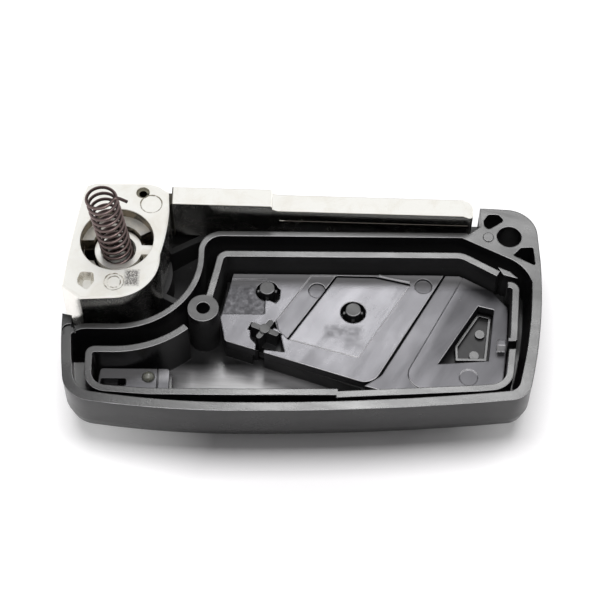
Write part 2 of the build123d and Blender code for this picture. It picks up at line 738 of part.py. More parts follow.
# Hub of the key: outline, spigot, bore, half-round ledge, stop channel and two lock notches
blade_turn = radians(blade_skew)
blade_side = Plane(
    origin=(pin_x, blade_y, 0),
    x_dir=(cos(blade_turn), sin(blade_turn), 0),
    z_dir=(sin(blade_turn), -cos(blade_turn), 0),
)
tang_start = mouth_x - pin_x - tang_length
tang_bottom = shank_bottom + 0.8
tang_top = shank_top - 1.0
hub_y = pivot_y - 10.9
web_top = hub_top - channel_depth
with BuildPart() as key_hub:
    with BuildSketch(Plane.XY.offset(hub_bottom)):
        with BuildLine():
            Line((pivot_x - 5.05, hub_y - 0.27), (pivot_x + 0.2, hub_y))
            ThreePointArc(
                (pivot_x + 0.2, hub_y),
                (pivot_x + 4.7, hub_y + 2.0),
                (pivot_x + 6.95, hub_y + 8.1),
            )
            ThreePointArc(
                (pivot_x + 6.95, hub_y + 8.1),
                (pivot_x + 7.65, hub_y + 11.7),
                (mouth_x, hub_y + 16.8),
            )
            Polyline(
                (mouth_x, hub_y + 16.8),
                (mouth_x - 0.25, hub_y + 20.3),
                (pivot_x + 6.3, hub_y + 21.4),
                (pivot_x + 4.7, hub_y + 21.95),
                (pivot_x - 4.2, hub_y + 21.95),
                (pivot_x - 5.5, hub_y + 21.5),
                (pivot_x - 6.05, hub_y + 20.0),
            )
            ThreePointArc(
                (pivot_x - 6.05, hub_y + 20.0),
                (pivot_x - 7.15, hub_y + 12.6),
                (pivot_x - 8.19, hub_y + 2.1),
            )
            Line((pivot_x - 8.19, hub_y + 2.1), (pivot_x - 5.05, hub_y - 0.27))
        make_face()
    extrude(amount=hub_top - hub_bottom)
    chamfer(key_hub.faces().sort_by(Axis.Z)[-1].edges(), 0.3)
    with BuildSketch(Plane.XY.offset(hub_bottom)):
        with Locations((pivot_x, pivot_y)):
            Circle(spigot_radius)
    extrude(amount=-spigot_depth)
    # Room for the button's flange below the web, then the bore and its ledge above it
    with BuildSketch(Plane.XY.offset(hub_bottom - spigot_depth)):
        with Locations((pivot_x, pivot_y)):
            Circle(spigot_radius - spigot_wall)
    extrude(amount=spigot_depth + web_top - lock_depth - hub_bottom, mode=Mode.SUBTRACT)
    with BuildSketch(Plane.XY.offset(hub_top)):
        with Locations((pivot_x, pivot_y)):
            Circle(bore_radius)
    extrude(amount=-ledge_depth, mode=Mode.SUBTRACT)
    with BuildSketch(Plane.XY.offset(hub_top)):
        with Locations((pivot_x, pivot_y)):
            Circle(bore_radius)
        with BuildLine():
            Polyline(
                (pivot_x, pivot_y),
                (pivot_x + 2 * bore_radius, pivot_y + 2 * bore_radius * tan(radians(ledge_start))),
                (pivot_x + 2 * bore_radius, pivot_y + 2 * bore_radius),
                (pivot_x - 2 * bore_radius, pivot_y + 2 * bore_radius),
                (pivot_x - 2 * bore_radius, pivot_y + lug_width / 2 + 0.2),
                (pivot_x, pivot_y + lug_width / 2 + 0.2),
                close=True,
            )
        make_face(mode=Mode.SUBTRACT)
    extrude(amount=-channel_depth, mode=Mode.SUBTRACT)
    with Locations((pivot_x, pivot_y, hub_top)):
        Hole(barrel_radius + 0.25)
    with BuildSketch(Plane.XY.offset(web_top)):
        with Locations((pivot_x, pivot_y)):
            Rectangle(2 * lug_reach + 0.3, lug_width + 0.3)
    extrude(amount=-lock_depth, mode=Mode.SUBTRACT)
    # Slot of the blade's tang and hole of the roll pin across it
    with BuildSketch(blade_side):
        with Locations((tang_start - 0.15, (tang_bottom + tang_top) / 2)):
            Rectangle(
                2 * tang_length,
                tang_top - tang_bottom + 0.2,
                align=(Align.MIN, Align.CENTER),
            )
    extrude(amount=tang_thickness / 2 + 0.1, both=True, mode=Mode.SUBTRACT)
    with Locations((pin_x, blade_y, hub_top)):
        Hole(pin_radius + 0.02, depth=hub_top - shank_bottom)
    # Round marks of the mould and a small heart-shaped dimple in the top face
    with BuildSketch(Plane.XY.offset(hub_top)):
        with Locations((pivot_x + 5.1, pivot_y + 6.9)):
            Circle(1.75)
        with Locations((pivot_x, hub_y + 2.85)):
            Circle(1.55)
    extrude(amount=-0.1, mode=Mode.SUBTRACT)
    with BuildSketch(Plane.XY.offset(hub_top)):
        with BuildLine():
            FilletPolyline(
                (pivot_x - 5.75, hub_y + 3.3),
                (pivot_x - 5.35, hub_y + 4.7),
                (pivot_x - 3.3, hub_y + 4.6),
                (pivot_x - 3.1, hub_y + 2.9),
                (pivot_x - 4.1, hub_y + 1.2),
                (pivot_x - 5.6, hub_y + 2.4),
                radius=0.45,
                close=True,
            )
        make_face()
    extrude(amount=-1.6, taper=20, mode=Mode.SUBTRACT)

# Blade: tang in the hub, thick shank, and the blank's long stem with a groove along each side
shank_start = mouth_x - pin_x + 0.2
shank_end = shank_start + shank_length
blade_end = bay_end - blade_end_gap - pin_x
blade_top = shank_top - blade_step
blade_bottom = shank_bottom + 0.6
with BuildPart() as key_blade:
    with BuildSketch(blade_side):
        with BuildLine():
            Polyline(
                (tang_start, tang_bottom),
                (shank_start + 1, tang_bottom),
                (shank_start + 1, tang_top),
                (tang_start, tang_top),
                close=True,
            )
        make_face()
    extrude(amount=tang_thickness / 2, both=True)
    with BuildSketch(blade_side):
        with BuildLine():
            Polyline(
                (shank_start, shank_bottom),
                (shank_end, shank_bottom),
                (shank_end, shank_top - 0.3),
                (shank_end - 0.3, shank_top),
                (shank_start, shank_top),
                close=True,
            )
        make_face()
    extrude(amount=shank_thickness / 2, both=True)
    with BuildSketch(blade_side):
        with BuildLine():
            Polyline(
                (shank_end - 1, blade_bottom),
                (blade_end - blade_end_slope, blade_bottom),
                (blade_end, blade_bottom + blade_end_drop),
                (blade_end, blade_top - blade_end_drop),
                (blade_end - blade_end_slope, blade_top),
                (shank_end + 0.9, blade_top),
                (shank_end - 1, shank_top - 0.4),
                close=True,
            )
        make_face()
    extrude(amount=blade_thickness / 2, both=True)
    fillet(key_blade.faces().sort_by(Axis.X)[-1].edges().filter_by(Axis.Z), 0.9)
    for side in (-1, 1):
        groove_plane = blade_side.offset(side * (blade_thickness / 2 - blade_groove))
        with BuildSketch(groove_plane):
            with Locations((shank_end + 1.2, blade_top - groove_drop)):
                Rectangle(blade_end - shank_end, groove_width, align=(Align.MIN, Align.MAX))
        extrude(amount=side * 2 * blade_groove, mode=Mode.SUBTRACT)
    with Locations((pin_x, blade_y, shank_top)):
        Hole(pin_radius + 0.02)

# Rolled pin, slit along its length
with BuildPart() as blade_roll_pin:
    with BuildSketch(Plane.XY.offset(shank_bottom + 0.05)):
        with Locations((pin_x, blade_y)):
            Circle(pin_radius)
            Circle(pin_bore, mode=Mode.SUBTRACT)
            Rectangle(2 * pin_radius, 0.25, align=(Align.MIN, Align.CENTER), mode=Mode.SUBTRACT)
    extrude(amount=hub_top - shank_bottom - 0.45)

# Release button: barrel with its spring cup and lug, on the cap that shows outside the shell
flange_bottom = cap_seat + release_travel + seat_gap
barrel_bottom = flange_bottom + cap_flange + seat_gap
with BuildPart() as release_barrel:
    with BuildSketch(Plane.XY.offset(barrel_bottom)):
        with Locations((pivot_x, pivot_y)):
            Circle(barrel_radius)
    extrude(amount=barrel_top - barrel_bottom)
    with BuildSketch(Plane.XY.offset(barrel_top)):
        with Locations((pivot_x, pivot_y)):
            Rectangle(lug_reach, lug_width, align=(Align.MIN, Align.CENTER))
    extrude(amount=-lug_height)
    with BuildSketch(Plane.XY.offset(barrel_top)):
        with Locations((pivot_x, pivot_y)):
            Circle(barrel_radius - barrel_wall)
    extrude(amount=-cup_depth, mode=Mode.SUBTRACT)
    with BuildSketch(Plane.XY.offset(barrel_bottom)):
        with Locations((pivot_x, pivot_y)):
            Circle(stem_radius + 0.05)
    extrude(amount=stem_height + 0.1, mode=Mode.SUBTRACT)

with BuildPart() as release_cap:
    with BuildSketch(Plane.XY.offset(cap_face)):
        with Locations((pivot_x, pivot_y)):
            Circle(cap_radius)
    extrude(amount=flange_bottom - cap_face)
    chamfer(release_cap.faces().sort_by(Axis.Z)[0].edges(), 0.4)
    with BuildSketch(Plane.XY.offset(flange_bottom)):
        with Locations((pivot_x, pivot_y)):
            Circle(cap_radius + cap_flange)
            Rectangle(key_reach, key_width, align=(Align.MIN, Align.CENTER))
    extrude(amount=cap_flange)
    with BuildSketch(Plane.XY.offset(flange_bottom + cap_flange)):
        with Locations((pivot_x, pivot_y)):
            Circle(stem_radius)
    extrude(amount=stem_height)

# Spring that leans in the cup, its last turn bent out into a short straight tail
spring_foot = barrel_top - cup_depth + wire_diameter / 2 + spring_radius * sin(radians(spring_lean)) + 0.03
lean_shift = (spring_foot - barrel_top + cup_depth / 2) * tan(radians(spring_lean))
spring_frame = Plane(
    origin=(pivot_x - lean_shift, pivot_y, spring_foot),
    x_dir=(cos(radians(spring_lean)), 0, sin(radians(spring_lean))),
    z_dir=(-sin(radians(spring_lean)), 0, cos(radians(spring_lean))),
)
coil_points = []
for step in range(spring_steps + 1):
    angle = 2 * pi * step / coil_steps
    rise = spring_pitch * step / coil_steps
    coil_points.append((spring_radius * cos(angle), spring_radius * sin(angle), rise))
spring_rise = spring_pitch * spring_steps / coil_steps
for reach, drawn_in in ((0.07, 0.72), (0.47, 0.72), (1.97, 1.45)):
    coil_points.append((spring_radius + reach, -drawn_in, spring_rise))
with BuildPart() as upright_coil:
    with BuildLine() as coil:
        turns = Polyline(*coil_points)
    with BuildSketch(Plane(origin=turns @ 0, z_dir=turns % 0)):
        RegularPolygon(wire_diameter / 2, 6)
    sweep(transition=Transition.RIGHT)

with BuildPart() as coil_spring:
    with Locations(spring_frame):
        add(upright_coil.part)

pieces = {
    "front_shell": front_shell,
    "left_button_plate": left_button_plate,
    "right_button_plate": right_button_plate,
    "light_carrier": light_carrier,
    "light_guide": light_guide,
    "lock_button": lock_button,
    "unlock_button": unlock_button,
    "hatch_button": hatch_button,
    "panic_button": panic_button,
    "key_hub": key_hub,
    "key_blade": key_blade,
    "blade_roll_pin": blade_roll_pin,
    "release_barrel": release_barrel,
    "release_cap": release_cap,
    "coil_spring": coil_spring,
}
for piece_name, piece in pieces.items():
    piece.part.label = piece_name
    export_step(piece.part, f"parts/{piece_name}.step")
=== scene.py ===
from math import cos, pi, radians, sin, tan

import bpy
from mathutils import Matrix, Vector


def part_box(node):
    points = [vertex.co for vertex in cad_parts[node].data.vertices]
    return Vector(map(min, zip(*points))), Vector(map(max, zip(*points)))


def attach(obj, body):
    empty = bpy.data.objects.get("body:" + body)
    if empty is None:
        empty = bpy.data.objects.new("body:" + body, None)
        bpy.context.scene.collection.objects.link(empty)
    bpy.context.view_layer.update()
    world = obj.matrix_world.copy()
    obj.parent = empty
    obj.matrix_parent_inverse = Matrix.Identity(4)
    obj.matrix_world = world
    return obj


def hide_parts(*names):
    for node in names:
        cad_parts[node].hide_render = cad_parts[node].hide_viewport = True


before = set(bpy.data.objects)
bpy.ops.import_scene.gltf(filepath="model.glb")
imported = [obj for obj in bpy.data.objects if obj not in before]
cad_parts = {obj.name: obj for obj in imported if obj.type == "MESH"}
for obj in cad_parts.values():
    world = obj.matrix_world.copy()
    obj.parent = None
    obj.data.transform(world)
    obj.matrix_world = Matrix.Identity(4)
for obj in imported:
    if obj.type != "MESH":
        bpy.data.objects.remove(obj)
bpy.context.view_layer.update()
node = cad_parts

# Places of the part that its finishes refer to, in metres
hinge = Vector((-0.02975, 0.0085, 0.0))
bore_radius = 0.00596
tray_floor = 0.0016
plate_top = 0.0066
hub_top = 0.017
hub_edge = -0.0212
groove_level = 0.0125

# Slants in the tray: the slit goes across with its depth, the plates' near edge forward with its way across
slit_slope = 0.53
near_edge_slope = 0.39

relief_depth = 0.0001
white = (1.0, 1.0, 1.0, 1.0)


# Small helpers for node trees
def new_group(name, kind, inputs, outputs):
    """A node group with named inputs and outputs; gives the tree and its two end nodes."""
    tree = bpy.data.node_groups.new(name, kind)
    for label, socket_kind, *first_value in inputs:
        entry = tree.interface.new_socket(name=label, in_out="INPUT", socket_type=socket_kind)
        if first_value:
            entry.default_value = first_value[0]
    for label, socket_kind in outputs:
        tree.interface.new_socket(name=label, in_out="OUTPUT", socket_type=socket_kind)
    return tree, place(tree, "NodeGroupInput"), place(tree, "NodeGroupOutput")


def place(tree, kind, values=None, **settings):
    """Adds a node, sets its options and the first values of its inputs."""
    made = tree.nodes.new(kind)
    for key, value in settings.items():
        setattr(made, key, value)
    for key, value in (values or {}).items():
        made.inputs[key].default_value = value
    return made


def join(tree, start, end):
    """Links one socket to another."""
    tree.links.new(start, end)


def feed(tree, value, socket):
    """Sets an input from a plain number or colour, or links a socket to it."""
    if isinstance(value, (int, float, tuple)):
        socket.default_value = value
    else:
        join(tree, value, socket)


def maths(tree, operation, *values):
    """A maths node on sockets or plain numbers; gives its output."""
    made = place(tree, "ShaderNodeMath", operation=operation)
    for slot, value in enumerate(values):
        feed(tree, value, made.inputs[slot])
    return made.outputs[0]


def product(tree, first, *others):
    """Multiplies sockets and plain numbers."""
    for other in others:
        first = maths(tree, "MULTIPLY", first, other)
    return first


def total(tree, first, *others):
    """Adds sockets and plain numbers."""
    for other in others:
        first = maths(tree, "ADD", first, other)
    return first


def inverse(tree, mask):
    """One minus a mask."""
    return maths(tree, "SUBTRACT", 1.0, mask)


def spread(tree, value, low, high, new_low=0.0, new_high=1.0):
    """Stretches a value from one range to another, held inside the new one."""
    made = place(tree, "ShaderNodeMapRange", clamp=True)
    join(tree, value, made.inputs["Value"])
    for key, number in (("From Min", low), ("From Max", high), ("To Min", new_low), ("To Max", new_high)):
        made.inputs[key].default_value = number
    return made.outputs["Result"]


def blend_colour(tree, factor, first, second):
    """Mixes two colours by a factor socket; each is a colour or a socket."""
    made = place(tree, "ShaderNodeMix", data_type="RGBA")
    join(tree, factor, made.inputs["Factor"])
    feed(tree, first, made.inputs[6])
    feed(tree, second, made.inputs[7])
    return made.outputs[2]


def vector_maths(tree, operation, first, second=None):
    """A vector maths node on one or two sockets; gives the node."""
    made = place(tree, "ShaderNodeVectorMath", operation=operation)
    join(tree, first, made.inputs[0])
    if second is not None:
        join(tree, second, made.inputs[1])
    return made


def split(tree, vector):
    """The three parts of a vector."""
    parts = place(tree, "ShaderNodeSeparateXYZ")
    join(tree, vector, parts.inputs[0])
    return parts.outputs[0], parts.outputs[1], parts.outputs[2]


def object_point(tree):
    """The Object coordinates of the point that is shaded."""
    return place(tree, "ShaderNodeTexCoord").outputs["Object"]


def coordinates(tree):
    """Its three Object coordinates: how far across, how deep and at what level it lies."""
    return split(tree, object_point(tree))


def noise(tree, scale, detail, roughness=0.5, distortion=0.0, vector=None):
    """Value of a noise texture, on Object coordinates unless a vector is given."""
    made = place(tree, "ShaderNodeTexNoise", {"Detail": detail, "Roughness": roughness, "Distortion": distortion})
    join(tree, object_point(tree) if vector is None else vector, made.inputs["Vector"])
    feed(tree, scale, made.inputs["Scale"])
    return made.outputs["Fac"]


def seen_or_mirrored(tree):
    """1 for rays that the camera sees directly, in a mirror or through something clear, and 0 for others."""
    ray = place(tree, "ShaderNodeLightPath")
    mirrored = maths(tree, "MAXIMUM", ray.outputs["Is Glossy Ray"], ray.outputs["Is Transmission Ray"])
    return maths(tree, "MAXIMUM", ray.outputs["Is Camera Ray"], mirrored)


# Shader group: small rounding of every edge, and a mask of where it is
def make_soft_edges():
    tree, start, end = new_group(
        "soft_edges",
        "ShaderNodeTree",
        [("Radius", "NodeSocketFloat", 0.00015)],
        [("Normal", "NodeSocketVector"), ("Edge", "NodeSocketFloat")],
    )
    rounded = place(tree, "ShaderNodeBevel", samples=6)
    join(tree, start.outputs["Radius"], rounded.inputs["Radius"])
    flat = place(tree, "ShaderNodeNewGeometry")
    turn = vector_maths(tree, "DOT_PRODUCT", rounded.outputs[0], flat.outputs["Normal"])
    join(tree, rounded.outputs[0], end.inputs["Normal"])
    join(tree, spread(tree, turn.outputs["Value"], 0.985, 0.8), end.inputs["Edge"])
    return tree


# Shader group: skin of a moulded plastic, with flow streaks, fine grain, dust and handling marks
def make_moulded_skin():
    tree, start, end = new_group(
        "moulded_skin",
        "ShaderNodeTree",
        [("Streak turn", "NodeSocketFloat", 0.5), ("Streak scale", "NodeSocketFloat", 260.0)],
        [
            ("Height", "NodeSocketFloat"),
            ("Streak", "NodeSocketFloat"),
            ("Smudge", "NodeSocketFloat"),
            ("Dust", "NodeSocketFloat"),
        ],
    )
    point = object_point(tree)
    turn = place(tree, "ShaderNodeCombineXYZ")
    join(tree, start.outputs["Streak turn"], turn.inputs["Z"])
    along = place(tree, "ShaderNodeVectorRotate", rotation_type="EULER_XYZ")
    join(tree, point, along.inputs["Vector"])
    join(tree, turn.outputs[0], along.inputs["Rotation"])
    stretch = place(tree, "ShaderNodeMapping", {"Scale": (0.16, 1.0, 1.0)})
    join(tree, along.outputs[0], stretch.inputs["Vector"])
    flow = noise(
        tree,
        start.outputs["Streak scale"],
        detail=5.0,
        roughness=0.62,
        distortion=0.6,
        vector=stretch.outputs[0],
    )
    grain = noise(tree, scale=4200.0, detail=3.0, roughness=0.6)
    smudge = noise(tree, scale=105.0, detail=4.0, roughness=0.55, distortion=0.3)
    dust = place(tree, "ShaderNodeTexVoronoi", {"Scale": 900.0})
    join(tree, point, dust.inputs["Vector"])
    speck = spread(tree, dust.outputs["Distance"], 0.05, 0.11, 1.0, 0.0)
    dusty_place = spread(tree, noise(tree, scale=420.0, detail=1.0), 0.56, 0.6)
    join(tree, total(tree, grain, product(tree, flow, 1.6)), end.inputs["Height"])
    join(tree, spread(tree, flow, 0.36, 0.66), end.inputs["Streak"])
    join(tree, spread(tree, smudge, 0.4, 0.65), end.inputs["Smudge"])
    join(tree, product(tree, speck, dusty_place), end.inputs["Dust"])
    return tree


# Shader group: bright plating on cast or rolled metal, with ripples, draw lines, scratches and a tarnish
def make_plating():
    tree, start, end = new_group(
        "plating",
        "ShaderNodeTree",
        [("Ripple scale", "NodeSocketFloat", 700.0), ("Draw lines", "NodeSocketFloat", 0.0)],
        [("Height", "NodeSocketFloat"), ("Tarnish", "NodeSocketFloat"), ("Scratch", "NodeSocketFloat")],
    )
    point = object_point(tree)
    ripple = noise(tree, start.outputs["Ripple scale"], detail=3.0)
    stretch = place(tree, "ShaderNodeMapping", {"Scale": (0.03, 1.0, 1.0)})
    join(tree, point, stretch.inputs["Vector"])
    lines = noise(tree, scale=5200.0, detail=3.0, roughness=0.7, vector=stretch.outputs[0])
    drawn = product(tree, lines, start.outputs["Draw lines"])
    tarnish = noise(tree, scale=240.0, detail=5.0, roughness=0.6, distortion=0.8)
    waves = {"Scale": 1500.0, "Distortion": 14.0, "Detail": 2.0, "Detail Scale": 1.4}
    scratch = place(tree, "ShaderNodeTexWave", waves)
    join(tree, point, scratch.inputs["Vector"])
    join(tree, total(tree, ripple, drawn), end.inputs["Height"])
    join(tree, spread(tree, tarnish, 0.45, 0.75), end.inputs["Tarnish"])
    join(tree, spread(tree, scratch.outputs["Fac"], 0.93, 1.0), end.inputs["Scratch"])
    return tree


# Shader group: one round mark of the mould or of a punch, seen from above
def make_round_mark():
    tree, start, end = new_group(
        "round_mark",
        "ShaderNodeTree",
        [
            ("Centre", "NodeSocketVector"),
            ("Radius", "NodeSocketFloat", 0.0015),
            ("Width", "NodeSocketFloat", 0.00008),
        ],
        [("Ring", "NodeSocketFloat"), ("Inside", "NodeSocketFloat")],
    )
    flattened = vector_maths(tree, "MULTIPLY", object_point(tree))
    flattened.inputs[1].default_value = (1.0, 1.0, 0.0)
    gap = vector_maths(tree, "DISTANCE", flattened.outputs[0], start.outputs["Centre"])
    waver = noise(tree, scale=1400.0, detail=2.0)
    loose = product(tree, maths(tree, "SUBTRACT", waver, 0.5), 0.0002)
    past = maths(tree, "SUBTRACT", total(tree, gap.outputs["Value"], loose), start.outputs["Radius"])
    share = maths(tree, "DIVIDE", maths(tree, "ABSOLUTE", past), start.outputs["Width"])
    join(tree, spread(tree, share, 0.2, 1.0, 1.0, 0.0), end.inputs["Ring"])
    join(tree, spread(tree, past, -0.00005, 0.00005, 1.0, 0.0), end.inputs["Inside"])
    return tree


# Shader group: a box-shaped patch with a soft border
def make_patch():
    tree, start, end = new_group(
        "patch",
        "ShaderNodeTree",
        [
            ("Centre", "NodeSocketVector"),
            ("Half size", "NodeSocketVector", (0.001, 0.001, 0.001)),
            ("Softness", "NodeSocketFloat", 0.0002),
        ],
        [("Mask", "NodeSocketFloat")],
    )
    shift = vector_maths(tree, "SUBTRACT", object_point(tree), start.outputs["Centre"])
    fold = vector_maths(tree, "ABSOLUTE", shift.outputs[0])
    room = vector_maths(tree, "SUBTRACT", start.outputs["Half size"], fold.outputs[0])
    room_x, room_y, room_z = split(tree, room.outputs[0])
    least = maths(tree, "MINIMUM", maths(tree, "MINIMUM", room_x, room_y), room_z)
    inside = maths(tree, "DIVIDE", least, start.outputs["Softness"])
    join(tree, spread(tree, inside, -0.5, 0.5), end.inputs["Mask"])
    return tree


soft_edges = make_soft_edges()
moulded_skin = make_moulded_skin()
plating = make_plating()
round_mark = make_round_mark()
patch = make_patch()


def use_group(tree, group, values):
    """Places one of the shader groups in a material; gives its outputs."""
    made = tree.nodes.new("ShaderNodeGroup")
    made.node_tree = group
    for key, value in values.items():
        made.inputs[key].default_value = value
    return made.outputs


def patch_mask(tree, centre, half_size, softness):
    """Mask of one soft box-shaped patch."""
    return use_group(tree, patch, {"Centre": centre, "Half size": half_size, "Softness": softness})["Mask"]


def round_masks(tree, centre, radius, width):
    """Masks of one round mark: its ring, and all inside it."""
    mark = use_group(tree, round_mark, {"Centre": centre, "Radius": radius, "Width": width})
    return mark["Ring"], mark["Inside"]


def blank_material(name):
    """A material with only an output and a Principled BSDF."""
    made = bpy.data.materials.new(name)
    made.use_nodes = True
    tree = made.node_tree
    tree.nodes.clear()
    end = place(tree, "ShaderNodeOutputMaterial")
    skin = place(tree, "ShaderNodeBsdfPrincipled")
    join(tree, skin.outputs[0], end.inputs["Surface"])
    return made, tree, skin


def uprightness(tree):
    """How upright the face stands: 0 on a level face, 1 on a wall."""
    flat = place(tree, "ShaderNodeNewGeometry")
    upward = split(tree, flat.outputs["True Normal"])[2]
    return spread(tree, maths(tree, "ABSOLUTE", upward), 0.4, 0.8, 1.0, 0.0)


def add_relief(tree, skin, height, strength, edges):
    """Gives the shader its small relief, on top of the rounded edges."""
    lift = place(tree, "ShaderNodeBump", {"Strength": strength, "Distance": relief_depth})
    join(tree, height, lift.inputs["Height"])
    join(tree, edges["Normal"], lift.inputs["Normal"])
    join(tree, lift.outputs[0], skin.inputs["Normal"])


def moulded(
    name,
    colour,
    gloss,
    dull,
    streak_turn,
    edge_level,
    bump,
    edge,
    highlight_pale=0.72,
    sheer=white,
    duller=None,
    rougher=None,
    painted_light=None,
):
    """Black moulded plastic: gloss and dull are its roughness where it is clean and where it is smudged.

    Front edges of level faces above edge_level get a painted highlight, as pale as highlight_pale. sheer tints what
    it mirrors.
    duller makes what is added to its roughness, rougher a mask of where its skin is coarse, and painted_light a
    mask of where light is painted pale.
    """
    material, tree, skin = blank_material(name)
    marks = use_group(tree, moulded_skin, {"Streak turn": streak_turn, "Streak scale": 260.0})
    edges = use_group(tree, soft_edges, {"Radius": edge})
    high = maths(tree, "GREATER_THAN", coordinates(tree)[2], edge_level)
    # Painted highlight: the front edges of high level faces are painted pale, as a light in front would light them.
    front_edge = spread(tree, split(tree, edges["Normal"])[1], -0.08, -0.3)
    unevenly = spread(tree, marks["Smudge"], 0.0, 1.0, 0.45, 1.0)
    pale = product(tree, high, inverse(tree, uprightness(tree)), front_edge, unevenly)
    if painted_light:
        pale = maths(tree, "MAXIMUM", pale, painted_light(tree))
    varied = blend_colour(tree, pale, colour, (highlight_pale, highlight_pale * 0.987, highlight_pale * 1.01, 1.0))
    dusty = blend_colour(tree, product(tree, marks["Dust"], 0.2), varied, (0.2, 0.19, 0.19, 1.0))
    join(tree, dusty, skin.inputs["Base Color"])
    smudged = total(tree, product(tree, marks["Streak"], 0.55), product(tree, marks["Smudge"], 0.45))
    rough = spread(tree, smudged, 0.0, 1.0, gloss, dull)
    if duller:
        rough = total(tree, rough, duller(tree))
    height = marks["Height"]
    if rougher:
        coarse = noise(tree, scale=1300.0, detail=5.0, roughness=0.6)
        mask = rougher(tree)
        rough = total(tree, rough, product(tree, mask, spread(tree, coarse, 0.36, 0.64, 0.03, 0.2)))
        height = total(tree, height, product(tree, coarse, mask, 5.0))
    join(tree, rough, skin.inputs["Roughness"])
    skin.inputs["Specular IOR Level"].default_value = 0.38
    skin.inputs["Specular Tint"].default_value = sheer
    add_relief(tree, skin, height, bump, edges)
    return material


def plated(
    name,
    colour,
    gloss,
    satin,
    ripple,
    bump,
    draw_lines=0.0,
    tarnish=0.25,
    edge=0.0002,
    stains_and_shade=None,
    pressed=None,
):
    """Bright plated metal, brown where it is tarnished and along its edges.

    gloss is the roughness of its walls and satin that of its level faces. stains_and_shade gives pairs of a mask
    and a colour, stains and painted shade, that lie over the plating, the first one over its roughness too, and
    pressed a mask of what is sunk.
    """
    material, tree, skin = blank_material(name)
    marks = use_group(tree, plating, {"Ripple scale": ripple, "Draw lines": draw_lines})
    edges = use_group(tree, soft_edges, {"Radius": edge})
    brown = tuple(c * k for c, k in zip(colour[:3], (0.7, 0.62, 0.5))) + (1.0,)
    edge_brown = tuple(c * k for c, k in zip(colour[:3], (0.42, 0.37, 0.25))) + (1.0,)
    tone = blend_colour(tree, product(tree, marks["Tarnish"], tarnish), colour, brown)
    tone = blend_colour(tree, product(tree, edges["Edge"], 0.35), tone, edge_brown)
    rough = total(tree, product(tree, marks["Tarnish"], 0.1), product(tree, marks["Scratch"], 0.12))
    rough = total(tree, rough, spread(tree, uprightness(tree), 0.0, 1.0, satin, gloss))
    overlays = stains_and_shade(tree) if stains_and_shade else []
    # Stains and painted shade are laid over the plating here.
    for mask, overlay_colour in overlays:
        tone = blend_colour(tree, mask, tone, overlay_colour)
    if overlays:
        rough = total(tree, rough, product(tree, overlays[0][0], 0.3))
    join(tree, tone, skin.inputs["Base Color"])
    skin.inputs["Metallic"].default_value = 1.0
    join(tree, rough, skin.inputs["Roughness"])
    height = marks["Height"]
    if pressed:
        height = maths(tree, "SUBTRACT", height, pressed(tree))
    add_relief(tree, skin, height, bump, edges)
    return material


def plate_dull_places(tree):
    """Where the plates shine less: their sunk strips, a smear on a raised pad and the far right of the tray.
    The rest of the raised pads shines more.
    """
    across, deep, level = coordinates(tree)
    sunk = spread(tree, level, plate_top - 0.00012, plate_top - 0.00004, 0.07, 0.02)
    pad = spread(tree, level, plate_top + 0.00003, plate_top + 0.00006, 0.0, -0.04)
    from_slit = maths(tree, "SUBTRACT", across, product(tree, deep, slit_slope))
    past_slit = spread(tree, from_slit, 0.0212, 0.0232)
    right_end = product(tree, past_slit, spread(tree, deep, -0.012, 0.0, 0.07, 0.17))
    wide = patch_mask(tree, centre=(0.0064, -0.0021, 0.0067), half_size=(0.003, 0.001, 0.0006), softness=0.0009)
    narrow = patch_mask(tree, centre=(0.0079, -0.0032, 0.0067), half_size=(0.0016, 0.0019, 0.0006), softness=0.0013)
    smear = maths(tree, "MAXIMUM", wide, product(tree, narrow, 0.8))
    cloudy = noise(tree, scale=900.0, detail=3.0)
    smeared = product(tree, smear, spread(tree, cloudy, 0.35, 0.65, 0.03, 0.11))
    return total(tree, sunk, pad, right_end, smeared)


def plate_coarse_place(tree):
    """The coarse skin of the shallow recess round the first post."""
    return patch_mask(tree, centre=(-0.01, 0.00455, 0.0065), half_size=(0.0039, 0.00325, 0.0008), softness=0.0002)


def plate_painted_light(tree):
    """Painted light on the plates: a painted highlight on the low steps round the raised pads, and pale
    painted light along the far side of the tray and on the light carrier.
    """
    across, deep, level = coordinates(tree)
    upright = uprightness(tree)
    # Painted highlight on the low step walls round the raised pads.
    step_highlight = product(tree, spread(tree, level, plate_top, plate_top + 0.00001), upright)
    # Painted light: a pale sheet painted on the far side of the tray and on a band of the light carrier.
    on_carrier = spread(tree, across, -0.02, -0.018, 0.14, 0.0)
    carrier_painted_light = product(tree, on_carrier, spread(tree, deep, -0.0116, -0.0104))
    far_painted_light = spread(tree, deep, 0.0062, 0.0086, 0.0, 0.28)
    flat_painted_light = product(tree, total(tree, carrier_painted_light, far_painted_light), inverse(tree, upright))
    return maths(tree, "MAXIMUM", step_highlight, flat_painted_light)


def shell_painted_light(tree):
    """Painted light on the tray floor: a pale streaky patch that stops at the shade of the plate's near edge."""
    across, deep, level = coordinates(tree)
    above = spread(tree, level, tray_floor - 0.0003, tray_floor - 0.0001)
    below = spread(tree, level, tray_floor + 0.0001, tray_floor + 0.0004, 1.0, 0.0)
    from_plate = total(tree, deep, product(tree, across, near_edge_slope))
    # The painted light ends where the shade of the plate's near edge and of the boss falls.
    before_plate = spread(tree, from_plate, -0.0092, -0.0078, 1.0, 0.0)
    before_boss = spread(tree, deep, -0.0075, -0.0052, 1.0, 0.0)
    beside_carrier = spread(tree, across, -0.0235, -0.021)
    marks = use_group(tree, moulded_skin, {"Streak turn": 0.0, "Streak scale": 420.0})
    streaky = spread(tree, marks["Streak"], 0.2, 0.8, 0.24, 0.36)
    return product(tree, above, below, before_plate, before_boss, beside_carrier, streaky)


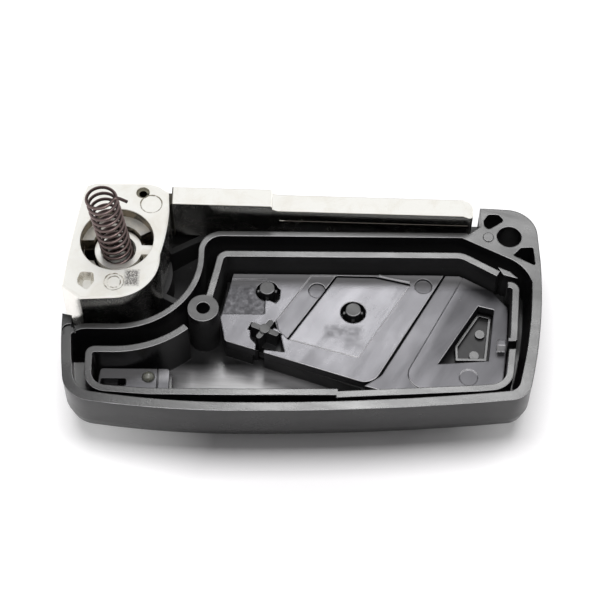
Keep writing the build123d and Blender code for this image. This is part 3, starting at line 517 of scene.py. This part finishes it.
# Where the shell is matt: its deep places behind the tray, the tray floor beside the boss and below the slot,
# and the top of the boss; centre, half size, softness of the border, and how much rougher
shell_matt_places = (
    ((0.0, 0.0075, 0.0048), (0.0355, 0.0115, 0.0048), 0.0022, 0.35),
    ((-0.0134, -0.0012, 0.0016), (0.0019, 0.0036, 0.0019), 0.0018, 0.25),
    ((-0.007, -0.0056, 0.0016), (0.0017, 0.0018, 0.0015), 0.0014, 0.2),
    ((-0.016, -0.0005, 0.011), (0.0024, 0.0024, 0.0006), 0.0003, 0.1),
)


def shell_gloss(tree):
    """How the shell's gloss differs inside: its level faces shine more on the front of the rim and the front
    rib, and less low down; the matt places are duller. Its underside isn't changed.
    """
    _, deep, level = coordinates(tree)
    in_front = spread(tree, deep, -0.0125, -0.0105, -0.07, 0.0)
    front_tops = product(tree, in_front, spread(tree, level, 0.008, 0.0095))
    low = spread(tree, level, 0.0034, 0.0038, 0.03, 0.0)
    change = product(tree, total(tree, front_tops, low), inverse(tree, uprightness(tree)))
    for centre, half_size, softness, rougher in shell_matt_places:
        change = total(tree, change, product(tree, patch_mask(tree, centre, half_size, softness), rougher))
    return product(tree, change, spread(tree, level, 0.0009, 0.0013))


def pin_tops(tree):
    """Where the fourth button shines more: the tops of the two pins in its cup."""
    return spread(tree, coordinates(tree)[2], 0.0044, 0.0046, 0.0, -0.25)


# Round marks on top of the hub: centre and radius
hub_marks = (
    ((-0.02975, 0.00045, 0.0), 0.00153),
    ((-0.02975, 0.00045, 0.0), 0.00105),
    ((-0.02465, 0.0154, 0.0), 0.00172),
)


def hub_stains_and_shade(tree):
    """Stains and painted shade of the hub: mottled brown walls in its bore, a painted shade that greys its left
    side, the round marks, a scuffed patch, and a painted near-black shade in its notch.
    """
    across, _, level = coordinates(tree)
    upright = uprightness(tree)
    inside = round_masks(tree, hinge, bore_radius, 0.0001)[1]
    below_top = spread(tree, level, hub_top - 0.00025, hub_top - 0.0001, 1.0, 0.0)
    bore_walls = product(tree, inside, below_top, spread(tree, upright, 0.0, 1.0, 0.35, 0.92))
    blotch = noise(tree, scale=620.0, detail=5.0, roughness=0.65, distortion=0.5)
    mottled = spread(tree, blotch, 0.44, 0.58)
    brown = blend_colour(tree, mottled, (0.27, 0.22, 0.15, 1.0), (0.045, 0.034, 0.02, 1.0))
    # Painted shade: the hub's left side is painted greyer, so that it mirrors the pale floor less brightly.
    left_side_shade = product(tree, spread(tree, across, -0.0337, -0.0325, 0.8, 0.0), upright, inverse(tree, inside))
    overlays = [(bore_walls, brown), (left_side_shade, (0.7, 0.68, 0.64, 1.0))]
    varied = noise(tree, scale=900.0, detail=3.0, roughness=0.7)
    broken = spread(tree, varied, 0.42, 0.56, 0.05, 0.95)
    on_top = spread(tree, level, hub_top - 0.00015, hub_top - 0.00011)
    for centre, radius in hub_marks:
        ring = round_masks(tree, centre, radius, 0.00014)[0]
        overlays.append((product(tree, ring, broken, on_top), (0.2, 0.17, 0.12, 1.0)))
    scuffed = patch_mask(tree, centre=(-0.027, 0.0012, 0.017), half_size=(0.00105, 0.0014, 0.001), softness=0.0006)
    fleck = noise(tree, scale=3600.0, detail=4.0, roughness=0.75)
    flecked = spread(tree, fleck, 0.42, 0.54, 0.2, 0.9)
    overlays.append((product(tree, scuffed, flecked), (0.13, 0.12, 0.12, 1.0)))
    # Painted shade: the notch is painted near-black, as the shade of a deep pocket.
    notch_shade = patch_mask(tree, centre=(-0.0246, 0.0107, 0.0115), half_size=(0.0012,) * 3, softness=0.0003)
    overlays.append((notch_shade, (0.02, 0.017, 0.012, 1.0)))
    return overlays


def hub_rings(tree):
    """How deep the hub's round marks are pressed in."""
    rings = [round_masks(tree, centre, radius, 0.00012)[0] for centre, radius in hub_marks]
    return product(tree, total(tree, *rings), 4.0)


def shank_painted_shade(tree):
    """Painted shadow in the gap where the shank meets the hub, and painted shade along the foot of the blade's
    groove.
    """
    across, _, level = coordinates(tree)
    # Painted shadow in the gap where the shank meets the hub.
    gap_shadow = spread(tree, across, hub_edge - 0.00018, hub_edge, 0.95, 0.0)
    # Painted shade along the foot of the blade's groove.
    from_foot = maths(tree, "ABSOLUTE", maths(tree, "SUBTRACT", level, groove_level))
    past_shank = spread(tree, across, -0.0035, -0.003)
    groove_foot_shade = product(tree, spread(tree, from_foot, 0.00007, 0.00016, 0.85, 0.0), past_shank)
    return [(gap_shadow, (0.05, 0.045, 0.03, 1.0)), (groove_foot_shade, (0.07, 0.055, 0.045, 1.0))]


# The spring's lie: its foot, radius and lean, from the hinge line and the top of the barrel
barrel_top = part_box("release_barrel")[1].z
coil_radius = 0.00228
wire_radius = 0.00026
cup_depth = 0.004
rest_gap = 0.00003
lean = radians(5.5)
coil_foot = barrel_top - cup_depth + wire_radius + coil_radius * sin(lean) + rest_gap
coil_middle_x = hinge.x - (coil_foot - barrel_top + cup_depth / 2) * tan(lean)


def coil_inner_shade(tree):
    """Painted shade on the side of the spring's wire that looks at the coil's own middle."""
    across, deep, level = coordinates(tree)
    flat = place(tree, "ShaderNodeNewGeometry")
    facing_x, facing_y, _ = split(tree, flat.outputs["Normal"])
    leant = product(tree, maths(tree, "SUBTRACT", level, coil_foot), tan(lean))
    out_x = total(tree, maths(tree, "SUBTRACT", across, coil_middle_x), leant)
    out_y = maths(tree, "SUBTRACT", deep, hinge.y)
    outward = total(tree, product(tree, out_x, facing_x), product(tree, out_y, facing_y))
    # Painted shade on the inner side of the wire.
    return [(spread(tree, outward, -0.0009, 0.0006, 0.9, 0.0), (0.022, 0.014, 0.013, 1.0))]


shell_black = moulded(
    "shell_black",
    colour=(0.0045, 0.0043, 0.0048, 1.0),
    gloss=0.26,
    dull=0.4,
    streak_turn=0.2,
    edge_level=0.0105,
    bump=0.09,
    edge=0.0002,
    duller=shell_gloss,
    painted_light=shell_painted_light,
)
plate_black = moulded(
    "plate_black",
    colour=(0.006, 0.0058, 0.0066, 1.0),
    gloss=0.22,
    dull=0.34,
    streak_turn=-0.98,
    edge_level=0.0063,
    bump=0.05,
    edge=0.00026,
    highlight_pale=0.98,
    sheer=(0.95, 0.94, 1.0, 1.0),
    duller=plate_dull_places,
    rougher=plate_coarse_place,
    painted_light=plate_painted_light,
)
button_black = moulded(
    "button_black",
    colour=(0.006, 0.0058, 0.0063, 1.0),
    gloss=0.4,
    dull=0.58,
    streak_turn=0.9,
    edge_level=0.007,
    bump=0.07,
    edge=0.0001,
)
cup_black = moulded(
    "cup_black",
    colour=(0.006, 0.0058, 0.0064, 1.0),
    gloss=0.52,
    dull=0.62,
    streak_turn=0.9,
    edge_level=0.0045,
    bump=0.07,
    edge=0.0001,
    duller=pin_tops,
)
hub_plate = plated(
    "hub_plate",
    colour=(0.925, 0.918, 0.88, 1.0),
    gloss=0.15,
    satin=0.5,
    ripple=650.0,
    bump=0.12,
    stains_and_shade=hub_stains_and_shade,
    pressed=hub_rings,
)
blade_plate = plated(
    "blade_plate",
    colour=(0.93, 0.922, 0.88, 1.0),
    gloss=0.13,
    satin=0.2,
    ripple=500.0,
    bump=0.1,
    draw_lines=1.4,
    stains_and_shade=shank_painted_shade,
)
barrel_plate = plated(
    "barrel_plate",
    colour=(0.92, 0.915, 0.88, 1.0),
    gloss=0.16,
    satin=0.3,
    ripple=900.0,
    bump=0.08,
    tarnish=0.55,
    edge=0.00012,
)
pin_steel = plated(
    "pin_steel",
    colour=(0.22, 0.21, 0.17, 1.0),
    gloss=0.25,
    satin=0.25,
    ripple=900.0,
    bump=0.1,
    edge=0.00005,
)
spring_wire = plated(
    "spring_wire",
    colour=(0.15, 0.112, 0.108, 1.0),
    gloss=0.3,
    satin=0.3,
    ripple=2200.0,
    bump=0.16,
    tarnish=0.4,
    edge=0.00002,
    stains_and_shade=coil_inner_shade,
)


def make_guide_cream():
    """Milky plastic of the light guide."""
    material, tree, skin = blank_material("guide_cream")
    cloud = noise(tree, scale=900.0, detail=3.0)
    cloudy = spread(tree, cloud, 0.35, 0.7)
    milky = blend_colour(tree, cloudy, (0.15, 0.15, 0.13, 1.0), (0.1, 0.1, 0.08, 1.0))
    join(tree, milky, skin.inputs["Base Color"])
    join(tree, spread(tree, cloud, 0.3, 0.7, 0.3, 0.45), skin.inputs["Roughness"])
    skin.inputs["Subsurface Weight"].default_value = 0.3
    skin.inputs["Subsurface Radius"].default_value = (0.0006, 0.0005, 0.0004)
    return material


finishes = {
    "front_shell": shell_black,
    "left_button_plate": plate_black,
    "right_button_plate": plate_black,
    "light_carrier": plate_black,
    "light_guide": make_guide_cream(),
    "key_hub": hub_plate,
    "key_blade": blade_plate,
    "blade_roll_pin": pin_steel,
    "release_barrel": barrel_plate,
    "release_cap": button_black,
    "lock_button": button_black,
    "hatch_button": button_black,
    "unlock_button": button_black,
    "panic_button": cup_black,
}
metal_pieces = ("key_hub", "key_blade", "blade_roll_pin", "release_barrel")


# Geometry Nodes: joins loose faces and shades them smooth up to a sharp angle
def make_smooth_faces():
    tree, start, end = new_group(
        "smooth_faces",
        "GeometryNodeTree",
        [
            ("Geometry", "NodeSocketGeometry"),
            ("Join distance", "NodeSocketFloat", 0.000002),
            ("Sharp angle", "NodeSocketFloat", radians(28)),
        ],
        [("Geometry", "NodeSocketGeometry")],
    )
    weld = place(tree, "GeometryNodeMergeByDistance")
    join(tree, start.outputs["Geometry"], weld.inputs["Geometry"])
    join(tree, start.outputs["Join distance"], weld.inputs["Distance"])
    smooth = place(tree, "GeometryNodeSetShadeSmooth", {"Shade Smooth": True}, domain="FACE")
    join(tree, weld.outputs[0], smooth.inputs["Geometry"])
    angle = place(tree, "GeometryNodeInputMeshEdgeAngle")
    sharp = place(tree, "FunctionNodeCompare", operation="GREATER_THAN")
    join(tree, angle.outputs["Unsigned Angle"], sharp.inputs["A"])
    join(tree, start.outputs["Sharp angle"], sharp.inputs["B"])
    crisp = place(tree, "GeometryNodeSetShadeSmooth", {"Shade Smooth": False}, domain="EDGE")
    join(tree, smooth.outputs[0], crisp.inputs["Geometry"])
    join(tree, sharp.outputs["Result"], crisp.inputs["Selection"])
    join(tree, crisp.outputs[0], end.inputs["Geometry"])
    return tree


smooth_faces = make_smooth_faces()
for name, material in finishes.items():
    piece = node[name]
    piece.data.materials.clear()
    piece.data.materials.append(material)
    shading = piece.modifiers.new("smooth_faces", "NODES")
    shading.node_group = smooth_faces


# Geometry Nodes: coil spring, a round wire along a helix whose end is bent out into a tail
def make_coil():
    tree, start, end = new_group(
        "coil",
        "GeometryNodeTree",
        [
            ("Geometry", "NodeSocketGeometry"),
            ("Radius", "NodeSocketFloat", 0.00228),
            ("Wire", "NodeSocketFloat", 0.00026),
            ("Turns", "NodeSocketFloat", 12.0),
            ("Height", "NodeSocketFloat", 0.0184),
            ("Bend start", "NodeSocketVector"),
            ("Bend pull", "NodeSocketVector"),
            ("Tail pull", "NodeSocketVector"),
            ("Tail end", "NodeSocketVector"),
            ("Finish", "NodeSocketMaterial"),
        ],
        [("Geometry", "NodeSocketGeometry")],
    )
    helix = place(tree, "GeometryNodeCurveSpiral", {"Resolution": 40, "Reverse": True})
    for key, source in (
        ("Start Radius", "Radius"),
        ("End Radius", "Radius"),
        ("Rotations", "Turns"),
        ("Height", "Height"),
    ):
        join(tree, start.outputs[source], helix.inputs[key])
    tail = place(tree, "GeometryNodeCurvePrimitiveBezierSegment", {"Resolution": 20})
    for key, source in (
        ("Start", "Bend start"),
        ("Start Handle", "Bend pull"),
        ("End Handle", "Tail pull"),
        ("End", "Tail end"),
    ):
        join(tree, start.outputs[source], tail.inputs[key])
    both = place(tree, "GeometryNodeJoinGeometry")
    join(tree, tail.outputs[0], both.inputs[0])
    join(tree, helix.outputs[0], both.inputs[0])
    ring = place(tree, "GeometryNodeCurvePrimitiveCircle", {"Resolution": 12})
    join(tree, start.outputs["Wire"], ring.inputs["Radius"])
    wire = place(tree, "GeometryNodeCurveToMesh", {"Fill Caps": True})
    join(tree, both.outputs[0], wire.inputs["Curve"])
    join(tree, ring.outputs[0], wire.inputs["Profile Curve"])
    smooth = place(tree, "GeometryNodeSetShadeSmooth", {"Shade Smooth": True})
    join(tree, wire.outputs[0], smooth.inputs["Geometry"])
    real = place(tree, "GeometryNodeRealizeInstances")
    join(tree, smooth.outputs[0], real.inputs[0])
    paint = place(tree, "GeometryNodeSetMaterial")
    join(tree, real.outputs[0], paint.inputs["Geometry"])
    join(tree, start.outputs["Finish"], paint.inputs["Material"])
    join(tree, paint.outputs[0], end.inputs["Geometry"])
    return tree


def grown(name, tree, values, put):
    """Runs a Geometry Nodes tree once and keeps its result, moved by put, as a plain mesh at the origin."""
    seed = bpy.data.objects.new(name + "_seed", bpy.data.meshes.new(name + "_seed"))
    bpy.context.scene.collection.objects.link(seed)
    grow = seed.modifiers.new("grow", "NODES")
    grow.node_group = tree
    for entry in tree.interface.items_tree:
        if entry.in_out == "INPUT" and entry.name in values:
            grow[entry.identifier] = values[entry.name]
    bpy.context.view_layer.update()
    ready = seed.evaluated_get(bpy.context.evaluated_depsgraph_get())
    mesh = bpy.data.meshes.new_from_object(ready)
    mesh.transform(put)
    mesh.name = name
    made = bpy.data.objects.new(name, mesh)
    bpy.context.scene.collection.objects.link(made)
    bpy.data.objects.remove(seed)
    return made


# Spring: stands in the barrel's cup and leans about the hinge line
coil_pitch = 0.00154
coil_turns = 143 / 12
coil_height = coil_pitch * coil_turns
coil_end = 2 * pi * coil_turns
bend_start = Vector((coil_radius * cos(coil_end), coil_radius * sin(coil_end), coil_height))
bend_pull = bend_start + Vector((-sin(coil_end), cos(coil_end), 0)) * 0.0009
tail_end = Vector((coil_radius + 0.00197, -0.00145, coil_height))
tail_pull = Vector((coil_radius + 0.0005, -0.0006, coil_height))
coil_place = Matrix.Translation((coil_middle_x, hinge.y, coil_foot)) @ Matrix.Rotation(-lean, 4, "Y")
coil_wire = grown(
    "coil_wire",
    make_coil(),
    {
        "Radius": coil_radius,
        "Wire": wire_radius,
        "Turns": coil_turns,
        "Height": coil_height,
        "Bend start": bend_start,
        "Bend pull": bend_pull,
        "Tail pull": tail_pull,
        "Tail end": tail_end,
        "Finish": spring_wire,
    },
    coil_place,
)
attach(coil_wire, "release")
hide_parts("coil_spring")


def make_floor_white():
    """Floor that keeps the shadow and reads white; it glows a little far from the part and at its two ends."""
    material, tree, skin = blank_material("floor_white")
    skin.inputs["Base Color"].default_value = (0.8, 0.79, 0.8, 1.0)
    skin.inputs["Roughness"].default_value = 0.9
    skin.inputs["Specular IOR Level"].default_value = 0.0
    skin.inputs["Emission Color"].default_value = white
    point = object_point(tree)
    away = vector_maths(tree, "LENGTH", point).outputs["Value"]
    across = split(tree, point)[0]
    left_end = spread(tree, across, -0.032, -0.014, 0.34, 0.0)
    right_end = spread(tree, across, 0.021, 0.032, 0.0, 0.2)
    far = spread(tree, away, 0.024, 0.1, 0.0, 0.7)
    glow = maths(tree, "MAXIMUM", far, total(tree, left_end, right_end))
    join(tree, product(tree, seen_or_mirrored(tree), glow), skin.inputs["Emission Strength"])
    return material


# Floor: a wide pale sheet just below the part
reach = 3.0
floor_level = -0.00005
corners = [(x * reach, y * reach, floor_level) for x, y in ((-1, -1), (1, -1), (1, 1), (-1, 1))]
floor_mesh = bpy.data.meshes.new("floor")
floor_mesh.from_pydata(corners, [], [(0, 1, 2, 3)])
floor = bpy.data.objects.new("floor", floor_mesh)
floor.data.materials.append(make_floor_white())
bpy.context.scene.collection.objects.link(floor)


# How far away the lamps stand, and the point that they are turned to
lamp_distance = 0.5
lamp_target = Vector((0, 0, 0.01))


def soft_box(name, azimuth, elevation, width, depth, radiance):
    """Area lamp turned to the object; radiance is the brightness that its face shows."""
    lamp = bpy.data.lights.new(name, "AREA")
    lamp.shape = "RECTANGLE"
    lamp.size = width
    lamp.size_y = depth
    lamp.energy = radiance * pi * width * depth
    flat = cos(radians(elevation))
    way = Vector((sin(radians(azimuth)) * flat, cos(radians(azimuth)) * flat, sin(radians(elevation))))
    stand = Matrix.Translation(lamp_target + way * lamp_distance)
    made = bpy.data.objects.new(name, lamp)
    made.matrix_world = stand @ way.to_track_quat("Z", "Y").to_matrix().to_4x4()
    bpy.context.scene.collection.objects.link(made)
    return made


def light_only(lamps, name, pieces):
    """Makes the lamps light only these pieces."""
    lit = bpy.data.collections.new(name)
    for piece in pieces:
        lit.objects.link(piece)
    for lamp in lamps:
        lamp.light_linking.receiver_collection = lit


# Studio light: two boxes behind light the black plastic, a strip in front the plastic and the spring, and a
# high box the floor; the bright plating mirrors the pale room
plastic_box = soft_box("plastic_box", azimuth=9.5, elevation=58, width=0.17, depth=0.2, radiance=15.0)
core_box = soft_box("core_box", azimuth=2, elevation=58.5, width=0.085, depth=0.15, radiance=12.0)
front_strip = soft_box("front_strip", azimuth=180, elevation=68, width=0.26, depth=0.06, radiance=20.0)
floor_box = soft_box("floor_box", azimuth=2, elevation=79, width=0.4, depth=0.24, radiance=10.4)
plastic_pieces = [node[name] for name in finishes if name not in metal_pieces]
light_only((plastic_box, core_box), "lit_by_box", plastic_pieces)
light_only((front_strip,), "lit_by_strip", [coil_wire] + plastic_pieces)
light_only((floor_box,), "only_floor", [floor])

# Room: white where it is seen or mirrored, and a weak fill elsewhere
world = bpy.data.worlds.new("studio")
bpy.context.scene.world = world
world.use_nodes = True
sky = world.node_tree
sky.nodes.clear()
sky_out = place(sky, "ShaderNodeOutputWorld")
fill = place(sky, "ShaderNodeBackground", {"Color": white, "Strength": 0.25})
seen = place(sky, "ShaderNodeBackground", {"Color": white, "Strength": 1.0})
pick = place(sky, "ShaderNodeMixShader")
join(sky, seen_or_mirrored(sky), pick.inputs[0])
join(sky, fill.outputs[0], pick.inputs[1])
join(sky, seen.outputs[0], pick.inputs[2])
join(sky, pick.outputs[0], sky_out.inputs[0])

# Camera: long lens, looking down at the part from its buttons' side
tilt = radians(57.5)
roll = radians(0.5)
camera_distance = 0.28571
target = Vector((-0.0006, 0.0005, 0.012))
back = Vector((0, -cos(tilt), sin(tilt)))
plain_up = Vector((0, sin(tilt), cos(tilt)))
right = cos(roll) * Vector((1, 0, 0)) + sin(roll) * plain_up
up = -sin(roll) * Vector((1, 0, 0)) + cos(roll) * plain_up
lens = bpy.data.cameras.new("camera")
lens.sensor_width = 36.0
lens.lens = 108.0
lens.clip_start = 0.01
camera = bpy.data.objects.new("camera", lens)
facing = Matrix((right, up, back)).transposed().to_4x4()
camera.matrix_world = Matrix.Translation(target + back * camera_distance) @ facing
bpy.context.scene.collection.objects.link(camera)
bpy.context.scene.camera = camera
bpy.context.scene.view_settings.view_transform = "Standard"
